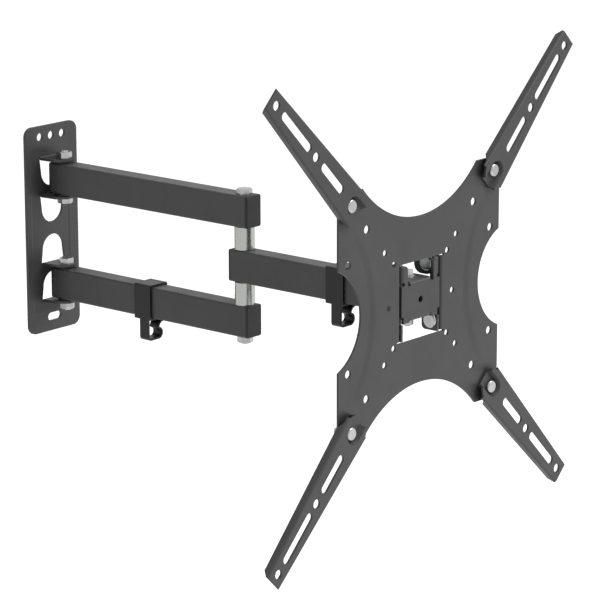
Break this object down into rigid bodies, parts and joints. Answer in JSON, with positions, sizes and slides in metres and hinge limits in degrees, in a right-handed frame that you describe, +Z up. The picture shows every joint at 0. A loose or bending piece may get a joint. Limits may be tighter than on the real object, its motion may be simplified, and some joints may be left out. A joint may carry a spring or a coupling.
{
  "type": "television wall mount",
  "caption": "Full-motion television wall mount: wall plate, paired and single swing arms, swivel and tilt head, star-shaped plate with extension arms and cable clips.",
  "frame": {"origin": "middle of the wall plate's back face, on the wall", "axes": "+X along the wall to the right as seen from the room, +Y into the wall, +Z up"},
  "size_m": [0.4282, 0.4619, 0.4282],
  "materials": {
    "coated_steel": "satin black powder coat",
    "plated_steel": "bright zinc plate",
    "bright_sleeve": "smooth bright steel",
    "black_plastic": "fine matte",
    "clip_plastic": "fine matte"
  },
  "bodies": {
    "wall_side": {"wall_plate": "coated_steel", "wall_pivot_bolts": "plated_steel", "wall_pivot_nuts": "plated_steel"},
    "first_arm": {"upper_arm_tube": "coated_steel", "lower_arm_tube": "coated_steel", "first_arm_end_caps": "black_plastic", "wall_pivot_bushes": "black_plastic", "elbow_bolt": "plated_steel", "elbow_nut": "plated_steel", "upper_elbow_spacer": "bright_sleeve", "lower_elbow_spacer": "bright_sleeve"},
    "second_arm": {"second_arm_tube": "coated_steel", "second_arm_end_caps": "black_plastic", "elbow_bushes": "black_plastic", "swivel_bushes": "black_plastic"},
    "first_clip": {"first_cable_clip": "clip_plastic"},
    "second_clip": {"second_cable_clip": "clip_plastic"},
    "head": {"head_bracket": "coated_steel", "swivel_bolt": "plated_steel", "swivel_nut": "plated_steel", "swivel_washers": "plated_steel", "tilt_rivets": "plated_steel", "lock_bolts": "plated_steel", "lock_nuts": "plated_steel", "lock_washers": "plated_steel", "friction_plates": "black_plastic", "tilt_spacers": "black_plastic"},
    "television_plate": {"vesa_plate": "coated_steel", "arm_bolts": "plated_steel", "arm_nuts": "plated_steel"},
    "arm_upper_right": {"extension_arm_upper_right": "coated_steel"},
    "arm_upper_left": {"extension_arm_upper_left": "coated_steel"},
    "arm_lower_left": {"extension_arm_lower_left": "coated_steel"},
    "arm_lower_right": {"extension_arm_lower_right": "coated_steel"}
  },
  "joints": [
    {"name": "wall_pivot", "type": "hinge", "parent": "wall_side", "child": "first_arm", "pos_m": [0, -0.02, 0], "axis": [0, 0, 1], "range_deg": [-90, 90]},
    {"name": "elbow", "type": "hinge", "parent": "first_arm", "child": "second_arm", "pos_m": [0, -0.25, 0], "axis": [0, 0, 1], "range_deg": [-135, 135]},
    {"name": "swivel", "type": "hinge", "parent": "second_arm", "child": "head", "pos_m": [0, -0.44, 0], "axis": [0, 0, 1], "range_deg": [-60, 60]},
    {"name": "tilt", "type": "hinge", "parent": "head", "child": "television_plate", "pos_m": [0, -0.447, -0.025], "axis": [1, 0, 0], "range_deg": [-2, 15]},
    {"name": "first_clip_slide", "type": "slide", "parent": "first_arm", "child": "first_clip", "axis": [0, 1, 0], "range_m": [-0.06, 0.06]},
    {"name": "second_clip_slide", "type": "slide", "parent": "second_arm", "child": "second_clip", "axis": [0, 1, 0], "range_m": [-0.02, 0.06]},
    {"name": "upper_right_arm_pivot", "type": "hinge", "parent": "television_plate", "child": "arm_upper_right", "pos_m": [0.1, -0.454, 0.1], "axis": [0, 1, 0], "range_deg": [-45, 45]},
    {"name": "upper_left_arm_pivot", "type": "hinge", "parent": "television_plate", "child": "arm_upper_left", "pos_m": [-0.1, -0.454, 0.1], "axis": [0, 1, 0], "range_deg": [-45, 45]},
    {"name": "lower_left_arm_pivot", "type": "hinge", "parent": "television_plate", "child": "arm_lower_left", "pos_m": [-0.1, -0.454, -0.1], "axis": [0, 1, 0], "range_deg": [-45, 45]},
    {"name": "lower_right_arm_pivot", "type": "hinge", "parent": "television_plate", "child": "arm_lower_right", "pos_m": [0.1, -0.454, -0.1], "axis": [0, 1, 0], "range_deg": [-45, 45]}
  ]
}
